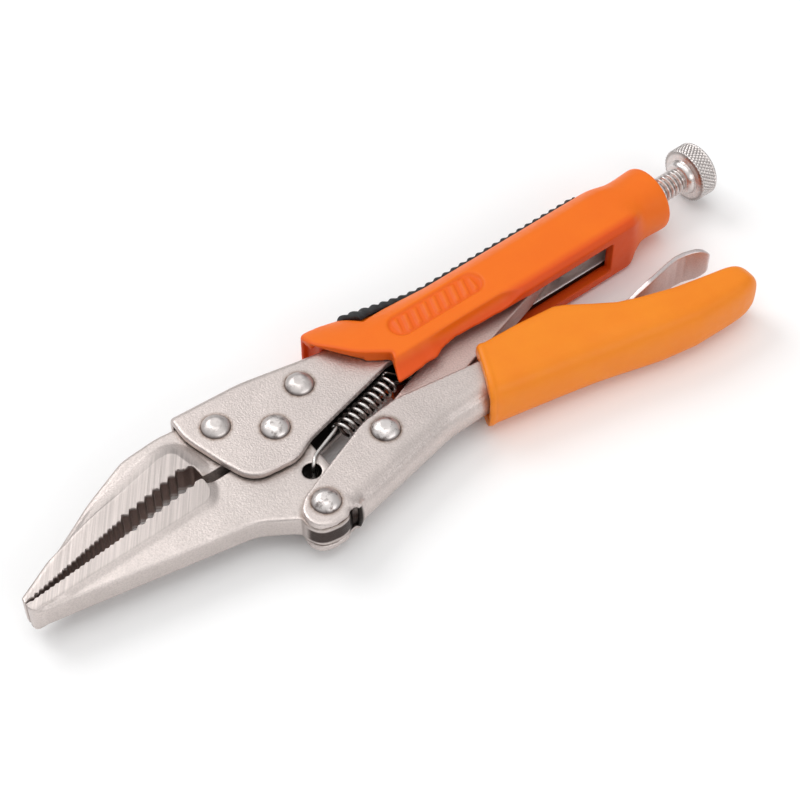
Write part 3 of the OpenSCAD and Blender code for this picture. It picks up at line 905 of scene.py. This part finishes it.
def hollow_out(thing):
    """Cut the grip to its plan, and open it for the channel, the link and the screw."""
    cut(thing, prism("plan", GRIP_PLAN, -12, 12), "INTERSECT")
    slot = [(-20, -5), (75.5, -5), (74.0, 6), (74.0, 19.5), (12, 19.5), (-8, 20.0), (-20, 22)]
    cut(thing, prism("slot", slot, -5.4, 5.4))
    channel = arc_outline([
        (-20, 24.9, 0), (-8, 22.1, 40), (12, 21.7, 30), (86.2, 21.7, 0), (86.2, 5.4, 0),
        (13, 5.4, 6), (3, 7.9, 6), (-20, 2.4, 0),
    ])
    room = OUTER_HALF + 0.06
    steel = prism("steel", channel, -room, room)
    remesh(steel, 0.4)
    set_points(steel, tuck_rear(round_rim(points(steel), True, PLATE_EDGE_R, room), 0.06))
    cut(thing, steel)
    mouth = [(-14, 23.6), (-8.4, 23.4), (-7.9, 22), (-4.2, 15.4), (-1.9, 12.1), (-4, 9), (-14, 9)]
    cut(thing, prism("mouth", mouth, -7.3, 7.3))
    cut(thing, prism("mouth_top", [(-14, 27.2), (-8.6, 26.9), (-8.2, 23), (-14, 23)], -5.2, 5.2))
    bore = [(79, 6.7), (95.9, 6.7), (95.91, SCREW_R + 0.45), (101, SCREW_R + 0.45)]
    cut(thing, lathe_x("bore", bore))


def upper_grip():
    thing = grip_skin()
    hollow_out(thing)
    remesh(thing, 0.34)
    smooth(thing, 5)
    co = points(thing)
    x, y, z = co.T
    # Oval pocket with plain slanted ribs, on both sides
    flat = np.maximum(np.abs(x - RECESS_AT[0]) - (RECESS_HALF[0] - RECESS_HALF[1]), 0)
    within = RECESS_HALF[1] - np.hypot(flat, y - RECESS_AT[1])
    sink = 0.75 * fade(within, -0.15, 0.75)
    slant = x - RECESS_AT[0] - 0.35 * (y - RECESS_AT[1])
    ribs = 0.5 + 0.5 * np.cos(slant * 2 * math.pi / RECESS_RIB_PITCH)
    ends = fade(13.0 - np.abs(x - RECESS_AT[0]), 0, 1)
    lift = 0.5 * fade(ribs, 0.45, 0.75) * fade(within, 1.0, 1.5) * ends
    outer = np.abs(z) > GRIP_HALF - 0.9
    co[:, 2] = np.where(outer, np.sign(z) * (np.abs(z) - sink + lift), z)
    # Groove that the insert lies in
    lane = fade(np.interp(x, *INSERT_HALF) + 0.1 - np.abs(z), -0.1, 0.2)
    lane = lane * fade(x, 0.8, 1.1) * (1 - fade(x, 79.0, 79.3)) * (y > back_height(x, z) - 0.8)
    co[:, 1] -= 0.8 * lane
    set_points(thing, co)
    smooth(thing, 1)
    # Painted shade in the pocket, low on the sides, inside and round the front
    x, y, z = points(thing).T
    pocket = fade(within, 0.0, 0.7) * outer * 0.35 * (1 - lift)
    low = (1 - fade(y, 3.6, 6.6)) * 0.7 * (1 - fade(x, 80, 90))
    inner = (np.abs(z) < OUTER_HALF + 0.3) * (y > 4.2) * (x < 83)
    inner = inner * (y < back_height(x, z) - 1.2) * 0.85
    front = (1 - fade(inside(GRIP_PLAN, x, y), 0.2, 1.4)) * 0.4
    # Very dark painted shade inside the front of the channel
    paint(thing, "painted_shade", inner * (x < 14) * (y < 21))
    paint(thing, "painted_hollow_shade", np.maximum.reduce([pocket, low, inner, front]))
    return finish_piece(thing, "frame", GRIP, "grip_orange", "upper_grip")


def upper_grip_insert():
    """Ribbed strip let into the grip's back."""
    first, last, pitch = 0.9, 78.95, 2.85
    rings = []
    for x in np.arange(first, last, 0.15):
        half = float(np.interp(x, *INSERT_HALF)) - 0.08
        ends = max(0.0, min(1.0, (x - first) / 0.5, (last - x) / 0.5))
        rib = (0.5 - 0.5 * math.cos((x - first) / pitch * 2 * math.pi)) ** 0.7
        across = np.linspace(-1, 1, 41)
        over = (0.1 + 0.68 * rib * ends) * np.clip((1 - np.abs(across)) * half / 0.35, 0, 1) ** 0.5
        height = back_height(x, across * half, 3.6, 1.9) + over - 0.1
        top = [(x, y, t * half) for t, y in zip(across, height)]
        under = [(x, y - 2.0, t * half) for t, y in zip(across[::-1], height[::-1])]
        rings.append(top + under)
    thing = tube_of_rings("upper_grip_insert_ribs", rings)
    return finish_piece(thing, "frame", INSERT, "insert_black", "upper_grip_insert")


upper_grip()
upper_grip_insert()


# ---------------------------------------------------------------- lower grip sleeve
SLEEVE_IN = (
    [8, 22, 35, 46, 49, 55, 60, 65, 75, 85, 90, 93, 95, 96.5, 97.2],
    [-1.9, -2.5, -3.1, -4.3, -5.8, -10.2, -13.6, -15.7, -18.8, -20.9, -22.0, -22.9, -23.9, -25.4, -27.2],
)
SLEEVE_OUT = (
    [8, 17, 25, 35, 45, 55, 65, 75, 85, 90, 93, 95, 96.5, 97.2],
    [-16.6, -18.4, -20.1, -22.2, -24.4, -26.9, -29.5, -31.3, -31.6, -31.5, -31.1, -30.5, -29.3, -27.6],
)
CUT_TOP, CUT_LOW = (22.4, -2.4), (14.6, -18.4)


def sleeve_section(x, sides):
    top = float(np.interp(x, *SLEEVE_IN))
    low = float(np.interp(x, *SLEEVE_OUT))
    middle = top - 0.42 * (top - low)
    end = math.sqrt(max(0.0, 1 - (max(0.0, x - 89.5) / 7.75) ** 2.6))
    half = SLEEVE_HALF * (1 - 0.10 * float(fade(np.array(x), 60, 88))) * end
    walls = [((0, 1), top - middle), ((0, -1), middle - low), ((1, 0), half), ((-1, 0), half)]
    ring = []
    for k in range(sides):
        a = 2 * math.pi * (k + 0.5) / sides
        u = (math.cos(a), math.sin(a))
        power = 6.0 if u[1] > 0 else 3.0
        total = sum(max(0.0, (u[0] * n[0] + u[1] * n[1]) / d) ** power for n, d in walls)
        r = total ** (-1 / power)
        ring.append((x, middle + r * u[1], r * u[0]))
    return ring


def lower_grip_sleeve():
    stations = list(np.arange(8, 90, 0.75)) + [97.2 - 7.2 * (1 - k / 16) ** 2 for k in range(16)]
    rings = [sleeve_section(x, 112) for x in stations]
    thing = tube_of_rings("lower_grip_sleeve_skin", rings)
    front = [(0, 10), (CUT_TOP[0] + 4.9, 10), CUT_TOP, CUT_LOW, (CUT_LOW[0] - 1.2, -22), (0, -22)]
    cut(thing, prism("front", front, -14, 14))
    solid = [
        (0, 2), (10, -4.2), (24, -6.3), (45, -7.5), (58, -15.5),
        (92, -24.6), (92, -28.2), (80, -29.9), (17, -16.2), (0, -16.4),
    ]
    inner = prism("inner", solid, -OUTER_HALF - 0.05, OUTER_HALF + 0.05)
    remesh(inner, 0.5)
    set_points(inner, round_rim(points(inner), False, OUTER_HALF, OUTER_HALF))
    cut(thing, inner)
    cut(thing, prism("mouth", [(0, 12), (69, 12), (69, -15.5), (60, -18), (0, -16)], -4.1, 4.1))
    remesh(thing, 0.34)
    smooth(thing, 5)
    co = points(thing)
    # Bead along the slanted front
    way = np.array(CUT_TOP) - np.array(CUT_LOW)
    way /= np.linalg.norm(way)
    behind = (co[:, 0] - CUT_LOW[0]) * way[1] - (co[:, 1] - CUT_LOW[1]) * way[0]
    bead = np.exp(-((behind - 1.1) / 0.75) ** 2)
    shell = (np.abs(co[:, 2]) > OUTER_HALF + 1.0) | (co[:, 1] < np.interp(co[:, 0], *SLEEVE_OUT) + 2)
    middle = (np.interp(co[:, 0], *SLEEVE_IN) + np.interp(co[:, 0], *SLEEVE_OUT)) / 2
    out = np.stack([np.zeros(len(co)), co[:, 1] - middle, co[:, 2]], axis=1)
    out /= np.linalg.norm(out, axis=1)[:, None] + 1e-9
    co += out * (0.32 * bead * shell)[:, None]
    set_points(thing, co)
    smooth(thing, 1)
    co = points(thing)
    # Painted shade along the inner edge and inside the cavity
    inner_face = fade(co[:, 1] - np.interp(co[:, 0], *SLEEVE_IN), -0.9, -0.2) * 0.25
    cavity = (np.abs(co[:, 2]) < OUTER_HALF + 0.1) * (co[:, 1] > np.interp(co[:, 0], *SLEEVE_OUT) + 2.2)
    paint(thing, "painted_hollow_shade", np.maximum(inner_face, cavity * 0.6 * (co[:, 0] < 69)))
    return finish_piece(thing, "lower_handle", SLEEVE, "sleeve_orange", "lower_grip_sleeve")


lower_grip_sleeve()


# ---------------------------------------------------------------- adjusting screw
PITCH = 1.5
THREAD_DEPTH = 0.78
THREAD_TIP, THREAD_END = 63.8, 108.3
KNOB_FRONT, KNOB_REAR = 110.1, 116.0
KNURL_COUNT = 44
KNURL_DEPTH = 0.42


def screw_shank():
    """The thread, cut on a round shank whose tip is drawn in."""
    turn = full_turn(60)
    rings = []
    for x in np.arange(THREAD_TIP + 1.2, THREAD_END, 0.125):
        ring = []
        fall = min(1.0, (THREAD_END - x) / 1.2)
        for k, a in enumerate(turn):
            phase = (x / PITCH - k / len(turn)) % 1.0
            crest = 1 - abs(2 * phase - 1)
            height = min(1.0, crest * 1.35) * THREAD_DEPTH * fall
            r = SCREW_R - THREAD_DEPTH + height
            ring.append((x, AXIS_Y + r * math.cos(a), r * math.sin(a)))
        rings.append(ring)
    tip = [(THREAD_TIP, AXIS_Y + (y - AXIS_Y) * 0.7, z * 0.7) for _, y, z in rings[0]]
    shank = tube_of_rings("adjusting_screw_thread", [tip] + rings)
    co = points(shank)
    far = np.hypot(co[:, 1] - AXIS_Y, co[:, 2])
    # Oil and painted shade in the thread's troughs
    paint(shank, "grime_and_shade", (1 - fade(far, SCREW_R - THREAD_DEPTH, SCREW_R - 0.3)) * 0.85)
    return finish_piece(shank, "adjusting_screw", SCREW, "screw_steel", "adjusting_screw")


def knurled_ring(x, turn):
    """One ring of the head's rim, with crossed grooves that fade out at both ends."""
    lead = 2 * math.pi * KNOB_R / KNURL_COUNT
    ends = min(1.0, (x - KNOB_FRONT - 0.3) / 0.4, (KNOB_REAR - 0.5 - x) / 0.4)
    ring = []
    for a in turn:
        s = a * KNOB_R / lead
        t = x / lead * 0.75
        one = abs(2 * ((s + t) % 1.0) - 1)
        two = abs(2 * ((s - t) % 1.0) - 1)
        pyramid = min(one, two)
        r = KNOB_R - KNURL_DEPTH * (1 - min(1.0, pyramid * 1.5)) * max(0.2, ends)
        ring.append((x, AXIS_Y + r * math.cos(a), r * math.sin(a)))
    return ring


def screw_head():
    """Neck ring, knurled rim and a dished end."""
    front, rear = KNOB_FRONT, KNOB_REAR
    neck = [
        (107.9, 3.0), (108.1, 4.1), (108.5, 4.6), (109.2, 4.9), (109.8, 5.1), (front - 0.1, 5.0),
        (front, 5.2), (front, 6.4), (front + 0.25, 7.1),
    ]
    dished = [
        (rear - 0.45, KNOB_R - 0.25), (rear - 0.15, KNOB_R - 0.5), (rear, KNOB_R - 1.0),
        (rear, KNOB_R - 1.5), (rear - 0.25, KNOB_R - 2.1), (rear - 0.7, 4.2),
        (rear - 0.85, 2.0), (rear - 0.9, 0.1),
    ]
    turn = full_turn(264)
    rings = [axis_ring(x, r, turn) for x, r in neck]
    rings += [knurled_ring(x, turn) for x in np.arange(front + 0.5, rear - 0.6, 0.16)]
    rings += [axis_ring(x, r, turn) for x, r in dished]
    knob = tube_of_rings("adjusting_screw_knob", rings)
    co = points(knob)
    far = np.hypot(co[:, 1] - AXIS_Y, co[:, 2])
    rim_part = (co[:, 0] > front) * (far > 7.0)
    # Oil and painted shade in the knurl's grooves
    paint(knob, "grime_and_shade", (1 - fade(far, KNOB_R - KNURL_DEPTH, KNOB_R - 0.2)) * rim_part * 0.6)
    return finish_piece(knob, "adjusting_screw", SCREW, "screw_steel")


screw_shank()
screw_head()


# ---------------------------------------------------------------- jaw spring
COIL_FRONT = np.array([-18.4, 0.6, 0.6])
COIL_REAR = np.array([2.0, 6.1, 0.6])
WIRE_R = 0.47
COIL_R = 2.9
TURNS = 10.0
TAB = np.array([6.0, 7.2, 0.0])


def curve_through(knots, step=0.15):
    """A smooth path through a few points."""
    knots = [np.array(k, float) for k in knots]
    pts = [2 * knots[0] - knots[1]] + knots + [2 * knots[-1] - knots[-2]]
    out = []
    for i in range(1, len(pts) - 2):
        a, b, c, d = pts[i - 1:i + 3]
        n = max(2, int(np.linalg.norm(c - b) / step))
        for k in range(n):
            t = k / n
            out.append(0.5 * (2 * b + (c - a) * t + (2 * a - 5 * b + 4 * c - d) * t * t
                              + (3 * b - a - 3 * c + d) * t ** 3))
    out.append(knots[-1])
    return out


def jaw_spring():
    axis = COIL_REAR - COIL_FRONT
    length = np.linalg.norm(axis)
    way = axis / length
    side = np.array([-way[1], way[0], 0.0])
    up = np.array([0.0, 0.0, 1.0])
    mean = COIL_R - WIRE_R
    start = math.radians(20)

    def on_coil(turns):
        a = start + 2 * math.pi * turns
        along = (turns / TURNS) * (length - 2 * WIRE_R) + WIRE_R
        return COIL_FRONT + way * along + mean * (math.cos(a) * side + math.sin(a) * up)

    coil = [on_coil(TURNS * k / (TURNS * 28)) for k in range(int(TURNS * 28) + 1)]
    over = JAW_HALF + WIRE_R + 0.12
    front = curve_through([
        HOOK_HOLE + [0.9, 0.6, -1.5], HOOK_HOLE + [1.0, 0.8, 2.6], HOOK_HOLE + [1.9, 1.6, over],
        (-28.3, -2.9, over), (-24.6, -1.4, 3.8), (-20.6, 0.2, 3.6), (-19.3, 1.3, 2.9),
        (-19.0, 2.4, 1.4), coil[0] - way * 0.5, coil[0],
    ])
    rear = curve_through([
        coil[-1], coil[-1] + way * 0.9, COIL_REAR + [2.6, 0.0, 0.3], TAB + [1.5, -1.2, 0.0],
        TAB + [1.6, 0.9, 0.0],
    ])
    thing = sweep("jaw_spring_coil", front[:-1] + coil + rear[1:], WIRE_R, 10)
    co = points(thing)
    from_axis = co - COIL_FRONT
    along = from_axis @ way
    far = np.linalg.norm(from_axis - along[:, None] * way, axis=1)
    # Painted shade, with some dirt, on the coil's inside
    paint(thing, "grime_and_shade", (1 - fade(far, mean - 0.4, mean + 0.05)) * (along > 0))
    finish_piece(thing, None, SPRING, "spring_steel", "jaw_spring")
    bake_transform(thing)


jaw_spring()


# ---------------------------------------------------------------- floor, light and camera
def soft_floor():
    mesh = bpy.data.meshes.new("floor")
    half = 3.0
    corners = [(-half, -half, 0), (half, -half, 0), (half, half, 0), (-half, half, 0)]
    mesh.from_pydata(corners, [], [(0, 1, 2, 3)])
    floor = add_object("floor", mesh)
    floor.location.z = CAD_BOX[0][2] - 0.00005
    s = Shader("pale_floor")
    s.set(Metallic=0.0, Roughness=0.7, Specular_IOR_Level=0.15)
    s.colour(s.mix(s.noise(0.002, 2.0), (0.96, 0.96, 0.96), (0.98, 0.98, 0.98)))
    floor.data.materials.append(s.material)


def area_light(name, where, towards, width, height, power):
    data = bpy.data.lights.new(name, "AREA")
    data.shape = "RECTANGLE"
    data.size = width
    data.size_y = height
    data.energy = power
    lamp = bpy.data.objects.new(name, data)
    bpy.context.scene.collection.objects.link(lamp)
    lamp.location = where
    lamp.rotation_euler = (Vector(towards) - Vector(where)).to_track_quat("-Z", "Y").to_euler()


def studio():
    world = bpy.data.worlds.new("studio")
    bpy.context.scene.world = world
    world.use_nodes = True
    tree = world.node_tree
    back = tree.nodes["Background"]
    coords = tree.nodes.new("ShaderNodeTexCoord")
    split = tree.nodes.new("ShaderNodeSeparateXYZ")
    ramp = tree.nodes.new("ShaderNodeValToRGB")
    tree.links.new(coords.outputs["Generated"], split.inputs[0])
    tree.links.new(split.outputs["Z"], ramp.inputs["Fac"])
    ramp.color_ramp.elements[0].position = 0.0
    ramp.color_ramp.elements[0].color = (0.35, 0.35, 0.36, 1)
    ramp.color_ramp.elements[1].position = 0.75
    ramp.color_ramp.elements[1].color = (1, 1, 1, 1)
    tree.links.new(ramp.outputs["Color"], back.inputs["Color"])
    back.inputs["Strength"].default_value = 0.72
    area_light("key", (-0.2, 0.85, 0.9), (0, 0, 0), 0.7, 0.6, 5.0)
    area_light("fill", (0.1, -0.9, 0.5), (0, 0, 0), 1.0, 0.5, 2.4)
    area_light("top", (-0.1, 0.0, 1.3), (0, 0, 0), 0.9, 0.9, 3.2)


def photo_camera():
    azimuth, elevation = math.radians(-38.3), math.radians(52.0)
    distance = 0.505
    look = Vector((
        -math.sin(azimuth) * math.cos(elevation),
        math.cos(azimuth) * math.cos(elevation),
        -math.sin(elevation),
    ))
    data = bpy.data.cameras.new("camera")
    data.lens = 90
    data.sensor_width = 36
    data.clip_start = 0.01
    camera = bpy.data.objects.new("camera", data)
    bpy.context.scene.collection.objects.link(camera)
    camera.location = row(0, 0, 0) - look * distance
    camera.rotation_euler = look.to_track_quat("-Z", "Y").to_euler()
    bpy.context.scene.camera = camera


soft_floor()
studio()
photo_camera()
bpy.context.scene.view_settings.view_transform = "Standard"
